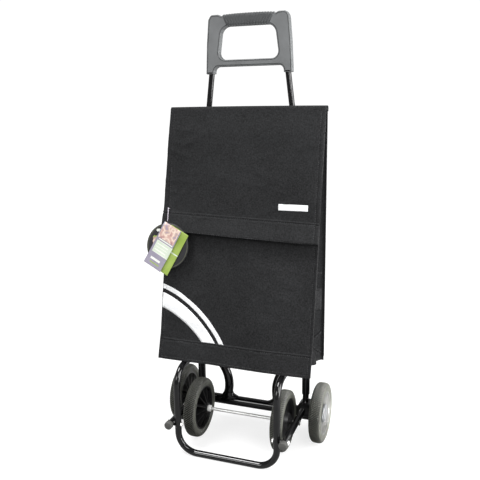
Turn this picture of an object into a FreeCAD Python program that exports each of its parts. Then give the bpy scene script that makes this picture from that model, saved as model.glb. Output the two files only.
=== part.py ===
import FreeCAD, Part
import Sketcher
import math
import os

# Four-wheel textile shopping trolley. Millimetres, +Z up, -Y to the front, +X to the right when
# seen from the front. The origin is on the floor, midway between the rear wheels and straight
# under their axis.

V = FreeCAD.Vector
doc = FreeCAD.newDocument("Trolley")
sheet = doc.addObject("Spreadsheet::Sheet", "Sizes")

SIZES = {
    # wheels and axles
    "wheel_radius": 75, "wheel_width": 31, "rim_radius": 55, "rim_width": 26, "hub_radius": 14,
    "rear_wheel_x": 188, "front_wheel_x": 112.5, "front_axle_y": -76, "rail_z": 78.5,
    "rear_axle_radius": 5, "front_axle_radius": 4, "running_gap": 0.05, "rib_count": 12,
    "hub_inner": 15.5, "rear_hub_outer": 9, "front_hub_outer": 16, "front_hub_inner": 25,
    "hub_cap_radius": 22.5, "hub_cap_height": 4.5, "clip_radius": 8.5, "clip_length": 7,
    # steel tubes: outer radii and walls
    "upright_radius": 10, "rail_radius": 8, "loop_radius": 8, "grip_tube_radius": 7,
    "cross_radius": 13, "thick_wall": 1.8, "thin_wall": 1.2,
    # where the tubes run
    "frame_y": 18, "upright_x": 145, "upright_foot_z": 112, "upright_top_z": 500,
    "cross_z": 61, "cross_end_x": 150, "rail_front_y": -190, "rail_bend": 28,
    "loop_x": 126, "loop_y": -175, "loop_top_z": 218, "loop_corner": 48, "loop_bend": 45,
    "loop_back_y": 32, "grip_bend_z": 512, "grip_tube_top_x": 96, "grip_tube_top_z": 915,
    "brace_waist_x": 66, "brace_waist_z": 107, "brace_top_bend": 93, "brace_foot_bend": 100,
    # handle
    "handle_depth": 18, "handle_foot_z": 913, "handle_top_z": 1049, "handle_half_foot": 108,
    "handle_half_top": 100, "opening_low_z": 945.5, "opening_top_z": 1021.5,
    "opening_half_low": 76, "opening_half_top": 66,
    # bag
    "bag_half_width": 194, "cloth": 2, "bag_back_y": 5, "bag_floor_z": 226.5, "bag_top_z": 831,
    "front_low_y": -130, "front_top_y": -11, "board": 3, "board_width": 240,
    # flap
    "flap_low_z": 536, "flap_top_z": 836.5, "flap_cloth": 2.5, "flap_gap": 3,
    # reflective bands: centre across and up the bag's front from the middle of its lower edge
    "band_u": -264, "band_v": -79, "narrow_outer": 273.5, "narrow_inner": 262.5,
    "wide_outer": 252, "wide_inner": 215, "wide_inner_u": -251, "band_film": 0.6, "hem_height": 47,
    # fasteners
    "bolt_head_radius": 6, "bolt_head": 4, "nut_radius": 6.5, "nut_length": 3.5,
    "bush_radius": 7.5, "end_clearance": 0.3,
    # retail tags
    "tag_pin_x": -184, "tag_pin_z": 592, "tag_pin_radius": 1, "tag_disc_radius": 56,
    "tag_card": 1, "tag_card_width": 52, "tag_card_length": 114, "tag_card_top": 49,
}


class Dim:
    """A size that knows its value and the spreadsheet expression it comes from."""

    def __init__(self, value, text):
        self.value = float(value)
        self.text = text

    def __add__(self, other):
        other = dim(other)
        return Dim(self.value + other.value, f"({self.text} + {other.text})")

    def __sub__(self, other):
        other = dim(other)
        return Dim(self.value - other.value, f"({self.text} - {other.text})")

    def __mul__(self, other):
        other = dim(other)
        return Dim(self.value * other.value, f"({self.text} * {other.text})")

    def __neg__(self):
        return Dim(-self.value, f"(0 - {self.text})")

    __radd__ = __add__
    __rmul__ = __mul__

    def __rsub__(self, other):
        return dim(other) - self


def dim(size):
    """A Dim for an alias of the sheet, a plain number, or a Dim passed through."""
    if isinstance(size, Dim):
        return size
    if isinstance(size, str):
        return Dim(SIZES[size], f"Sizes.{size}")
    return Dim(size, repr(float(size)))


def fill_sheet():
    for row, (alias, size) in enumerate(SIZES.items(), start=1):
        sheet.set(f"A{row}", alias)
        sheet.set(f"B{row}", str(size))
        sheet.setAlias(f"B{row}", alias)
    doc.recompute()


def bind(item, prop, size):
    size = dim(size)
    item.setExpression(prop, size.text)


def place(item, x=0, y=0, z=0, rotation=None):
    """Put an object at a bound place, with an optional fixed rotation."""
    item.Placement = FreeCAD.Placement(V(0, 0, 0), rotation or FreeCAD.Rotation())
    for axis, size in zip("xyz", (x, y, z)):
        bind(item, f"Placement.Base.{axis}", size)
    return item


ALONG_X = FreeCAD.Rotation(V(0, 1, 0), 90)
ALONG_Y = FreeCAD.Rotation(V(1, 0, 0), -90)
ALONG_Z = FreeCAD.Rotation()


def cylinder(name, radius, length, x, y, z, rotation=ALONG_X):
    item = doc.addObject("Part::Cylinder", name)
    bind(item, "Radius", radius)
    bind(item, "Height", length)
    return place(item, x, y, z, rotation)


def box(name, size_x, size_y, size_z, x, y, z):
    item = doc.addObject("Part::Box", name)
    for prop, size in zip(("Length", "Width", "Height"), (size_x, size_y, size_z)):
        bind(item, prop, size)
    return place(item, x, y, z)


def cut(name, base, tool):
    item = doc.addObject("Part::Cut", name)
    item.Base, item.Tool = base, tool
    return item


def fuse(name, *items):
    item = doc.addObject("Part::MultiFuse", name)
    item.Shapes = list(items)
    return item


def common(name, base, tool):
    item = doc.addObject("Part::Common", name)
    item.Base, item.Tool = base, tool
    return item


def mirrored(name, source):
    """The same piece on the other side of the symmetry plane."""
    item = doc.addObject("Part::Mirroring", name)
    item.Source = source
    item.Base, item.Normal = V(0, 0, 0), V(1, 0, 0)
    return item


def ring(name, outer, inner, length, x, y, z, rotation=ALONG_X):
    """A plain bush, washer or short tube."""
    return cut(name, cylinder(f"{name}_outer", outer, length, x, y, z, rotation),
               cylinder(f"{name}_bore", inner, length, x, y, z, rotation))


def rounded_path(corners, bends):
    """Straight runs through the corners, joined by tangent arcs of the given radii."""
    edges, start = [], corners[0]
    for before, corner, after, bend in zip(corners, corners[1:], corners[2:], bends):
        into, out = (corner - before).normalize(), (after - corner).normalize()
        half_turn = into.getAngle(out) / 2
        reach = bend * math.tan(half_turn)
        first, last = corner - into * reach, corner + out * reach
        inward = (out - into).normalize()
        middle = corner + inward * (bend / math.cos(half_turn) - bend)
        edges.append(Part.LineSegment(start, first).toShape())
        edges.append(Part.Arc(first, middle, last).toShape())
        start = last
    edges.append(Part.LineSegment(start, corners[-1]).toShape())
    return Part.Wire(edges)


def bent_bar(name, path, radius):
    """A round bar swept along a path object; the section sits at the path's first point."""
    first = path.Shape.Edges[0]
    section = doc.addObject("Part::Circle", f"{name}_section")
    bind(section, "Radius", radius)
    direction = first.tangentAt(first.FirstParameter)
    section.Placement = FreeCAD.Placement(first.valueAt(first.FirstParameter),
                                          FreeCAD.Rotation(V(0, 0, 1), direction))
    sweep = doc.addObject("Part::Sweep", name)
    sweep.Sections = [section]
    sweep.Spine = (path, [f"Edge{i + 1}" for i in range(len(path.Shape.Edges))])
    sweep.Solid = True
    sweep.Frenet = False
    return sweep


def path_object(name, corners, bends):
    points = [V(*(dim(c).value for c in corner)) for corner in corners]
    path = doc.addObject("Part::Feature", name)
    path.Shape = rounded_path(points, [dim(b).value for b in bends])
    return path


def bent_tube(name, corners, bends, radius, wall):
    """A tube with bends; returns the tube and the solid bar of its outer shape."""
    path = path_object(f"{name}_path", corners, bends)
    bar = bent_bar(f"{name}_bar", path, radius)
    bore = bent_bar(f"{name}_bore", path, dim(radius) - wall)
    return cut(name, bar, bore), bar


def sketch_in(body, plane, name):
    sketch = body.newObject("Sketcher::SketchObject", name)
    origin_plane = [f for f in body.Origin.OriginFeatures if f.Role == plane][0]
    sketch.AttachmentSupport = [(origin_plane, "")]
    sketch.MapMode = "FlatFace"
    return sketch


def polygon(sketch, points):
    """A closed outline whose every corner is dimensioned from the sketch's origin."""
    spots = [(dim(u), dim(v)) for u, v in points]
    count = len(spots)
    base = sketch.GeometryCount
    for (u1, v1), (u2, v2) in zip(spots, spots[1:] + spots[:1]):
        sketch.addGeometry(Part.LineSegment(V(u1.value, v1.value, 0), V(u2.value, v2.value, 0)))
    for i in range(count):
        sketch.addConstraint(Sketcher.Constraint("Coincident", base + i, 2,
                                                 base + (i + 1) % count, 1))
    for i, spot in enumerate(spots):
        for kind, size in zip(("DistanceX", "DistanceY"), spot):
            if abs(size.value) < 1e-9:
                on_axis = -2 if kind == "DistanceX" else -1
                sketch.addConstraint(Sketcher.Constraint("PointOnObject", base + i, 1, on_axis))
                continue
            index = sketch.addConstraint(Sketcher.Constraint(kind, -1, 1, base + i, 1, size.value))
            sketch.setExpression(f"Constraints[{index}]", size.text)


def padded(name, plane, points, thickness, midplane=True):
    """A body with one outline padded, about its plane or to the plane's positive side."""
    body = doc.addObject("PartDesign::Body", name)
    sketch = sketch_in(body, plane, f"{name}_outline")
    polygon(sketch, points)
    pad = body.newObject("PartDesign::Pad", f"{name}_pad")
    pad.Profile = sketch
    bind(pad, "Length", thickness)
    pad.Midplane = midplane
    return body


def round_edges(body, name, radius, keep):
    """Fillet the body's edges that the test keeps."""
    doc.recompute()
    tip = body.Tip
    names = [f"Edge{i + 1}" for i, edge in enumerate(tip.Shape.Edges) if keep(edge)]
    fillet = body.newObject("PartDesign::Fillet", name)
    fillet.Base = (tip, names)
    bind(fillet, "Radius", radius)
    return fillet


def along(edge, axis):
    """True for a straight edge that runs along one axis."""
    if len(edge.Vertexes) != 2:
        return False
    run = edge.Vertexes[1].Point - edge.Vertexes[0].Point
    return abs(abs(run[axis]) - run.Length) < 1e-6


NODES = {}


def node(label, item):
    """Name a finished piece; its label is its file name."""
    item.Label = label
    NODES[label] = item
    return item


def pair(label, item):
    """A right-hand piece and its mirror image on the left."""
    node(f"{label}_right", item)
    node(f"{label}_left", mirrored(f"{label}_mirror", item))


# Steel chassis ------------------------------------------------------------------------------


def make_rear_frame():
    """Uprights, cross tube and the curved braces between them."""
    upright = ring("upright", "upright_radius", dim("upright_radius") - "thick_wall",
                   dim("upright_top_z") - "upright_foot_z", "upright_x", "frame_y",
                   "upright_foot_z", ALONG_Z)
    pair("upright", upright)

    span = dim("cross_end_x") * 2
    cross = ring("cross_tube", "cross_radius", dim("cross_radius") - "thin_wall", span,
                 -dim("cross_end_x"), "frame_y", "cross_z")
    node("cross_tube", cross)
    plug_inner = dim("cross_radius") - "thin_wall"
    flange = cylinder("cross_plug_flange", "cross_radius", 2.5, "cross_end_x", "frame_y", "cross_z")
    spigot = cylinder("cross_plug_spigot", plug_inner, 14, dim("cross_end_x") - 14, "frame_y",
                      "cross_z")
    pair("cross_tube_plug", fuse("cross_plug", flange, spigot))

    # The brace leaves the upright, curves in to its waist and out again down to the cross tube.
    waist_x, waist_z = dim("brace_waist_x").value, dim("brace_waist_z").value
    top_bend, foot_bend = dim("brace_top_bend").value, dim("brace_foot_bend").value
    depth = dim("frame_y").value

    def on_arc(bend, degrees):
        turn = math.radians(degrees)
        return V(waist_x + bend * (1 - math.cos(turn)), depth, waist_z + bend * math.sin(turn))

    foot_turn, top_turn = -29, 78
    path = doc.addObject("Part::Feature", "brace_path")
    path.Shape = Part.Wire([
        Part.Arc(on_arc(foot_bend, foot_turn), on_arc(foot_bend, foot_turn / 2),
                 on_arc(foot_bend, 0)).toShape(),
        Part.Arc(on_arc(top_bend, 0), on_arc(top_bend, top_turn / 2),
                 on_arc(top_bend, top_turn)).toShape()])
    bar = bent_bar("brace_bar", path, "upright_radius")
    bore = bent_bar("brace_bore", path, dim("upright_radius") - "thick_wall")
    upright_space = cylinder("brace_upright_space", "upright_radius", 200, "upright_x", "frame_y",
                             "upright_foot_z", ALONG_Z)
    cross_space = cylinder("brace_cross_space", "cross_radius", span, -dim("cross_end_x"),
                           "frame_y", "cross_z")
    shell = cut("brace_shell", bar, bore)
    pair("brace", cut("brace", cut("brace_coped", shell, upright_space), cross_space))


def make_rails():
    """Side rails: each runs back along the floor side and bends up into its upright."""
    front_y, rail_x, depth = dim("rail_front_y"), dim("upright_x"), dim("frame_y")
    tube, bar = bent_tube(
        "rail_tube", [(rail_x, front_y, "rail_z"), (rail_x, depth, "rail_z"), (rail_x, depth, 150)],
        ["rail_bend"], "rail_radius", "thin_wall")
    axle_hole = cylinder("rail_axle_hole", "front_axle_radius", 40, rail_x - 20, "front_axle_y",
                         "rail_z")
    pair("rail", cut("rail", tube, axle_hole))

    collar = cylinder("rail_cap_collar", dim("rail_radius") + 2, 12, rail_x, front_y - 5, "rail_z",
                      ALONG_Y)
    bite = cylinder("rail_cap_bite", "rail_radius", 12, rail_x, front_y, "rail_z", ALONG_Y)
    pair("rail_cap", cut("rail_cap", collar, bite))
    return bar


def make_foot_loop():
    """One bent tube: floor bar, two legs, and two arms that run back under the bag."""
    x, y, low, top = dim("loop_x"), dim("loop_y"), dim("loop_radius"), dim("loop_top_z")
    back = dim("loop_back_y")
    corners = [(-x, back, top), (-x, y, top), (-x, y, low), (x, y, low), (x, y, top),
               (x, back, top)]
    bends = ["loop_bend", "loop_corner", "loop_corner", "loop_bend"]
    tube, _ = bent_tube("foot_loop", corners, bends, "loop_radius", "thin_wall")
    node("foot_loop", tube)
    plug = cylinder("loop_plug_disc", "loop_radius", 2, x, back, top, ALONG_Y)
    spigot = cylinder("loop_plug_spigot", dim("loop_radius") - "thin_wall", 12, x, back - 12, top,
                      ALONG_Y)
    right = fuse("loop_plug_right", plug, spigot)
    node("loop_plugs", fuse("loop_plugs", right, mirrored("loop_plug_left", right)))


def make_foot_bracket(rail_bar):
    """Moulded knuckle at each rear corner: holds cross tube and rail and carries the wheel stub."""
    x, y, z = dim("upright_x"), dim("frame_y"), dim("cross_z")
    block = padded("bracket_block", "XZ_Plane",
                   [(x - 21, z - 14.5), (x + 13, z - 14.5), (x + 13, z + 31), (x - 8, z + 31),
                    (x - 15, z + 25), (x - 21, z + 14)], 28)
    round_edges(block, "bracket_round", 3, lambda edge: along(edge, 1))
    place(block, 0, y, 0)
    boss = cylinder("bracket_boss", 17, 28, x - 5, 0, "wheel_radius")
    body = fuse("bracket_body", block, boss)
    cross_space = cylinder("bracket_cross_space", "cross_radius", dim("cross_end_x") * 2,
                           -dim("cross_end_x"), y, z)
    plug_space = cylinder("bracket_plug_space", dim("cross_radius") + 0.2, 20, "cross_end_x", y, z)
    stub_space = cylinder("bracket_stub_space", "rear_axle_radius", 40, x + 9, 0, "wheel_radius")
    spaces = fuse("bracket_spaces", cross_space, plug_space, stub_space, rail_bar)
    pair("foot_bracket", cut("foot_bracket", body, spaces))


def make_grip_tubes():
    """Thinner tubes that stand in the uprights and lean in towards the handle."""
    x, y, bend_z = dim("upright_x"), dim("frame_y"), dim("grip_bend_z")
    top_x, top_z = dim("grip_tube_top_x"), dim("grip_tube_top_z")
    lean = (x.value - top_x.value) / (top_z.value - bend_z.value)
    inserted = 40
    end = (top_x - lean * inserted, y, top_z + inserted)
    tube, bar = bent_tube("grip_tube", [(x, y, 430), (x, y, bend_z), end], [60],
                          "grip_tube_radius", "thin_wall")
    pair("grip_tube", tube)

    collar = cylinder("collar_outer", dim("upright_radius") + 2, 26, x, y,
                      dim("upright_top_z") - 18, ALONG_Z)
    upright_space = cylinder("collar_upright_space", "upright_radius", 30, x, y,
                             dim("upright_top_z") - 30, ALONG_Z)
    spaces = fuse("collar_spaces", upright_space, bar)
    pair("tube_collar", cut("tube_collar", collar, spaces))
    return bar


def make_cross_bars():
    """Flat steel bars behind the bag, riveted to the uprights and the grip tubes."""
    x, y = dim("upright_x"), dim("frame_y")
    back = y + "upright_radius"
    node("middle_bar", box("middle_bar", x * 2 + 16, 3, 22, -x - 8, back, 398))
    bolts = [cylinder(f"middle_bar_bolt_{side}", 5, 4, x * side, back + 3, 409, ALONG_Y)
             for side in (-1, 1)]
    node("middle_bar_bolts", fuse("middle_bar_bolts", *bolts))
    half = 118
    back_high = y + "grip_tube_radius"
    node("hanger_bar", box("hanger_bar", half * 2, 3, 20, -half, back_high, 800))
    bolts = [cylinder(f"hanger_bar_bolt_{side}", 4.5, 4, 109 * side, back_high + 3, 810, ALONG_Y)
             for side in (-1, 1)]
    node("hanger_bar_bolts", fuse("hanger_bar_bolts", *bolts))


def make_loop_bolts():
    """Bolts that hold the loop's legs to the rails and its arms to the uprights, and spacers."""
    thickness, radius = dim("bolt_head"), dim("bolt_head_radius")
    leg_outer, leg_inner = dim("loop_x") + "loop_radius", dim("loop_x") - "loop_radius"
    rail_inner, rail_outer = (dim("upright_x") - "rail_radius", dim("upright_x") + "rail_radius")
    upright_outer = dim("upright_x") + "upright_radius"
    ends = []
    for y, z, outside in (("loop_y", "rail_z", rail_outer), ("frame_y", "loop_top_z", upright_outer)):
        ends.append(cylinder(f"bolt_head_{y}", radius, thickness, outside, y, z))
        ends.append(cylinder(f"bolt_nut_{y}", radius, thickness, leg_inner - thickness, y, z))
    right = fuse("loop_bolts_right", *ends)
    node("loop_bolts", fuse("loop_bolts", right, mirrored("loop_bolts_left", right)))
    spacer = cylinder("loop_spacer", radius, rail_inner - leg_outer, leg_outer, "loop_y", "rail_z")
    node("loop_spacers", fuse("loop_spacers", spacer, mirrored("loop_spacer_left", spacer)))


# Handle -------------------------------------------------------------------------------------


def make_handle(grip_bar):
    """A flat moulded frame with a finger opening, two sockets and a soft grip along its top."""
    foot_z, top_z = dim("handle_foot_z"), dim("handle_top_z")
    foot, top = dim("handle_half_foot"), dim("handle_half_top")
    side_z = foot_z + 125
    socket_in = foot - 21
    bar_z = dim("opening_low_z") - 16
    right = [(foot, foot_z), (foot - 3, foot_z + 68), (top, side_z), (top - 8, top_z)]
    outline = [(-socket_in, foot_z), (-socket_in, bar_z), (socket_in, bar_z), (socket_in, foot_z)]
    outline += right + [(-u, v) for u, v in reversed(right)]
    frame = padded("handle_outline", "XZ_Plane", outline, "handle_depth")
    inner_corner = [(-socket_in.value, bar_z.value), (socket_in.value, bar_z.value)]

    def is_inner(edge):
        point = edge.Vertexes[0].Point
        return along(edge, 1) and any(abs(point.x - u) + abs(point.z - v) < 0.01
                                      for u, v in inner_corner)

    round_edges(frame, "handle_inner_round", 12, is_inner)
    place(frame, 0, "frame_y", 0)

    low, high = dim("opening_half_low"), dim("opening_half_top")
    low_z, high_z = dim("opening_low_z"), dim("opening_top_z")
    opening = padded("handle_opening", "XZ_Plane",
                     [(-low, low_z), (low, low_z), (high, high_z), (-high, high_z)],
                     dim("handle_depth") + 10)
    round_edges(opening, "opening_low_round", 16,
                lambda edge: along(edge, 1) and edge.Vertexes[0].Point.z < low_z.value + 1)
    round_edges(opening, "opening_top_round", 22,
                lambda edge: along(edge, 1) and edge.Vertexes[0].Point.z > high_z.value - 1)
    place(opening, 0, "frame_y", 0)

    grip_block = padded("grip_block", "XZ_Plane",
                        [(-52, high_z), (52, high_z), (62, top_z - 1.5), (0, top_z - 0.2),
                         (-62, top_z - 1.5)], dim("handle_depth") + 2)
    place(grip_block, 0, "frame_y", 0)
    grip_space = padded("grip_space", "XZ_Plane",
                        [(-51.5, high_z - 2), (51.5, high_z - 2), (63, top_z + 1),
                         (-63, top_z + 1)], dim("handle_depth") + 4)
    place(grip_space, 0, "frame_y", 0)
    core = box("handle_core", 140, 8, 12, -70, dim("frame_y") - 4, high_z + 7)
    ring_shape = cut("handle_ring", cut("handle_open", frame, opening), grip_space)
    sockets = fuse("handle_sockets", grip_bar, mirrored("grip_bar_left", grip_bar))
    node("handle_frame", cut("handle_frame", fuse("handle_solid", ring_shape, core), sockets))
    node("handle_grip", cut("handle_grip", grip_block, core))


# Wheels -------------------------------------------------------------------------------------


def make_tyre(name):
    """Rubber ring with rounded shoulders, seated on the rim."""
    half, outer, seat = dim("wheel_width") * 0.5, dim("wheel_radius"), dim("rim_radius")
    body = doc.addObject("PartDesign::Body", name)
    sketch = sketch_in(body, "XY_Plane", f"{name}_section")
    polygon(sketch, [(-half + 1.5, seat), (half - 1.5, seat), (half, seat + 7), (half - 3, outer - 4),
                     (half - 9, outer), (-half + 9, outer), (-half + 3, outer - 4),
                     (-half, seat + 7)])
    turn = body.newObject("PartDesign::Revolution", f"{name}_turn")
    turn.Profile = sketch
    turn.ReferenceAxis = (sketch, ["H_Axis"])
    turn.Angle = 360
    return body


def make_rim(name, side, axle_radius, hub_in, hub_out):
    """Moulded rim: seat, closed outer web, hub with a bore, and ribs on the inner face."""
    seat, half = dim("rim_radius"), dim("rim_width") * 0.5
    bore, hub = dim(axle_radius) + "running_gap", dim("hub_radius")
    inside = seat - 4
    web_in, web_out = 3, 6
    profile = [(-dim(hub_in), bore), (hub_out, bore), (hub_out, hub), (web_out, hub + 1),
               (web_out, inside), (half, inside), (half, seat), (-half, seat), (-half, inside),
               (web_in, inside), (web_in, hub), (-dim(hub_in), hub)]
    body = doc.addObject("PartDesign::Body", name)
    sketch = sketch_in(body, "XY_Plane", f"{name}_section")
    polygon(sketch, [(dim(u) * side, v) for u, v in profile])
    turn = body.newObject("PartDesign::Revolution", f"{name}_turn")
    turn.Profile = sketch
    turn.ReferenceAxis = (sketch, ["H_Axis"])
    turn.Angle = 360
    doc.recompute()
    ribs = sketch_in(body, "XY_Plane", f"{name}_rib_outline")
    edge = dim(side) * -10
    polygon(ribs, [(dim(side) * web_in, hub - 1), (edge, hub - 1), (edge, inside + 1),
                   (dim(side) * web_in, inside + 1)])
    pad = body.newObject("PartDesign::Pad", f"{name}_rib")
    pad.Profile = ribs
    pad.Length = 2.4
    pad.Midplane = True
    pattern = body.newObject("PartDesign::PolarPattern", f"{name}_ribs")
    pattern.Originals = [pad]
    pattern.Axis = (sketch, ["H_Axis"])
    pattern.Angle = 360
    bind(pattern, "Occurrences", "rib_count")
    body.Tip = pattern
    return body


def make_rear_wheel(side, word):
    x = dim("rear_wheel_x") * side
    node(f"rear_tyre_{word}", place(make_tyre(f"rear_tyre_{word}"), x, 0, "wheel_radius"))
    rim = make_rim(f"rear_rim_{word}", side, "rear_axle_radius", "hub_inner", "rear_hub_outer")
    node(f"rear_rim_{word}", place(rim, x, 0, "wheel_radius"))


def make_hub_caps():
    """A shallow cap on each rear hub, hollow round the axle's end."""
    start = dim("rear_wheel_x") + "rear_hub_outer"
    outer = cylinder("cap_outer", "hub_cap_radius", "hub_cap_height", start, 0, "wheel_radius")
    hollow = cylinder("cap_hollow", 11, dim("hub_cap_height") - 2, start, 0, "wheel_radius")
    pair("hub_cap", cut("hub_cap", outer, hollow))


def make_front_wheel(side, word):
    x, y, z = dim("front_wheel_x") * side, dim("front_axle_y"), dim("rail_z")
    node(f"front_tyre_{word}", place(make_tyre(f"front_tyre_{word}"), x, y, z))
    rim = make_rim(f"front_rim_{word}", side, "front_axle_radius", "front_hub_inner",
                   "front_hub_outer")
    node(f"front_rim_{word}", place(rim, x, y, z))


def make_axles():
    """Rear stubs in the brackets, one long front rod, and the nuts and bushes on them."""
    z = dim("wheel_radius")
    stub_x, stub_end = dim("upright_x") + 9, dim("rear_wheel_x") + "rear_hub_outer" + 1
    pair("rear_stub", cylinder("rear_stub", "rear_axle_radius", stub_end - stub_x, stub_x, 0, z))
    washer_x = dim("rear_wheel_x") - 19.5
    washer = ring("rear_washer", 10, "rear_axle_radius", 3.5, washer_x, 0, z)
    node("rear_washers", fuse("rear_washers", washer, mirrored("rear_washer_left", washer)))

    rail_inner, rail_outer = dim("upright_x") - "rail_radius", dim("upright_x") + "rail_radius"
    end, y, z = rail_outer + "nut_length", dim("front_axle_y"), dim("rail_z")
    node("front_axle", cylinder("front_axle", "front_axle_radius", end * 2, -end, y, z))

    def on_axle(label, radius, start, length):
        right = ring(f"{label}_right", radius, "front_axle_radius", length, start, y, z)
        node(label, fuse(label, right, mirrored(f"{label}_left", right)))

    on_axle("front_axle_nuts", "nut_radius", rail_outer, "nut_length")
    bush_start = dim("front_wheel_x") + "front_hub_outer" + "end_clearance"
    on_axle("front_bushes", "bush_radius", bush_start, rail_inner - bush_start)
    clip_end = dim("front_wheel_x") - "front_hub_inner" - "end_clearance"
    on_axle("front_hub_clips", "clip_radius", clip_end - "clip_length", "clip_length")


# Bag ----------------------------------------------------------------------------------------


def front_y(height, offset=0):
    """Where the leaning front of the bag is at a height, moved forwards by an offset."""
    low_z, top_z = dim("bag_floor_z"), dim("bag_top_z")
    low_y, top_y = dim("front_low_y"), dim("front_top_y")
    slope = (top_y.value - low_y.value) / (top_z.value - low_z.value)
    return low_y + (dim(height) - low_z) * slope - offset


def side_profile(name, points, thickness, x):
    """An outline in the side view, padded across the width about x."""
    body = padded(name, "YZ_Plane", points, thickness)
    return place(body, x, 0, 0)


def make_bag():
    """A slim wedge of cloth panels: sloping front, upright back, two gussets and a floor."""
    wide, cloth = dim("bag_half_width") * 2, dim("cloth")
    low, top, back = dim("bag_floor_z"), dim("bag_top_z"), dim("bag_back_y")
    node("bag_front", side_profile(
        "bag_front", [(front_y(low), low), (front_y(low) + cloth, low),
                      (front_y(top) + cloth, top), (front_y(top), top)], wide, 0))
    node("bag_back", side_profile(
        "bag_back", [(back - cloth, low), (back, low), (back, top), (back - cloth, top)], wide, 0))
    inner_back = back - cloth
    gusset = side_profile(
        "bag_gusset", [(front_y(low) + cloth, low), (inner_back, low), (inner_back, top),
                       (front_y(top) + cloth, top)], cloth, dim("bag_half_width") - cloth * 0.5)
    pair("bag_gusset", gusset)
    inside = (dim("bag_half_width") - cloth) * 2
    floor_top = low + cloth
    node("bag_floor", side_profile(
        "bag_floor", [(front_y(low) + cloth, low), (inner_back, low), (inner_back, floor_top),
                      (front_y(floor_top) + cloth, floor_top)], inside, 0))
    board_top = floor_top + "board"
    node("base_board", side_profile(
        "base_board", [(front_y(floor_top) + cloth + 3, floor_top), (inner_back - 2, floor_top),
                       (inner_back - 2, board_top), (front_y(board_top) + cloth + 3, board_top)],
        "board_width", 0))


def front_lean():
    """The front's lean from upright, in radians, and the unit vectors up it and out of it."""
    lean = math.atan2(dim("front_top_y").value - dim("front_low_y").value,
                      dim("bag_top_z").value - dim("bag_floor_z").value)
    return lean, V(0, math.sin(lean), math.cos(lean)), V(0, -math.cos(lean), math.sin(lean))


def make_stripes():
    """Two curved reflective bands on the lower left of the front, cut from rings in its plane."""
    low_z = dim("bag_floor_z")
    lean, up, _ = front_lean()
    tilt = FreeCAD.Rotation(V(1, 0, 0), 90 - math.degrees(lean))
    origin = V(0, front_y(low_z).value, low_z.value)

    def in_plane(item, u, v):
        """Place an object whose own XY is the bag front's plane, u across and v up it."""
        item.Placement = FreeCAD.Placement(origin + V(dim(u).value, 0, 0) + up * dim(v).value, tilt)
        return item

    def disc(name, radius, u):
        item = doc.addObject("Part::Cylinder", name)
        bind(item, "Radius", radius)
        bind(item, "Height", "band_film")
        return in_plane(item, u, "band_v")

    def band(name, outer, inner, inner_u):
        arc = cut(f"{name}_ring", disc(f"{name}_disc", outer, "band_u"),
                  disc(f"{name}_hole", inner, inner_u))
        slab = doc.addObject("Part::Box", f"{name}_slab")
        for prop, size in (("Length", "bag_half_width"), ("Width", "bag_top_z"),
                           ("Height", "band_film")):
            bind(slab, prop, size)
        return common(name, arc, in_plane(slab, -dim("bag_half_width"), "hem_height"))

    node("stripe_narrow", band("stripe_narrow", "narrow_outer", "narrow_inner", "band_u"))
    node("stripe_wide", band("stripe_wide", "wide_outer", "wide_inner", "wide_inner_u"))


def make_flap():
    """Cover flap: a roof over the mouth and an apron down the front, with its hinge tape."""
    cloth, top, low = dim("flap_cloth"), dim("flap_top_z"), dim("flap_low_z")
    gap = dim("flap_gap")
    wide = dim("bag_half_width") * 2 + 2
    under = top - cloth
    rear = dim("bag_back_y") - 1
    flap = side_profile(
        "flap", [(rear, under), (rear, top),
                 (front_y(top, gap + cloth), top), (front_y(low, gap + cloth), low),
                 (front_y(low, gap), low), (front_y(under, gap), under)], wide, 0)
    node("flap", flap)
    tape_width, tape_length, tape_thick, tape_lift = 22, 90, 1.1, 8
    label_z, label_x, label_height, label_length, label_thick = 600, 131, 14, 70, 0.8

    def patch(name, low_z, height, depth, thick, length, x):
        """A flat strip that lies along the front, its inner face `depth` in front of the bag."""
        high_z = low_z + height
        node(name, side_profile(
            name, [(front_y(low_z, depth), low_z), (front_y(low_z, depth + thick), low_z),
                   (front_y(high_z, depth + thick), high_z), (front_y(high_z, depth), high_z)],
            length, x))

    tape_z = low + tape_lift
    patch("flap_hook_tape", tape_z, tape_width, gap - tape_thick, tape_thick, tape_length, 0)
    patch("bag_loop_tape", tape_z, tape_width, 0, tape_thick, tape_length, 0)
    patch("woven_label", label_z, label_height, gap + cloth, label_thick, label_length, label_x)


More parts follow.
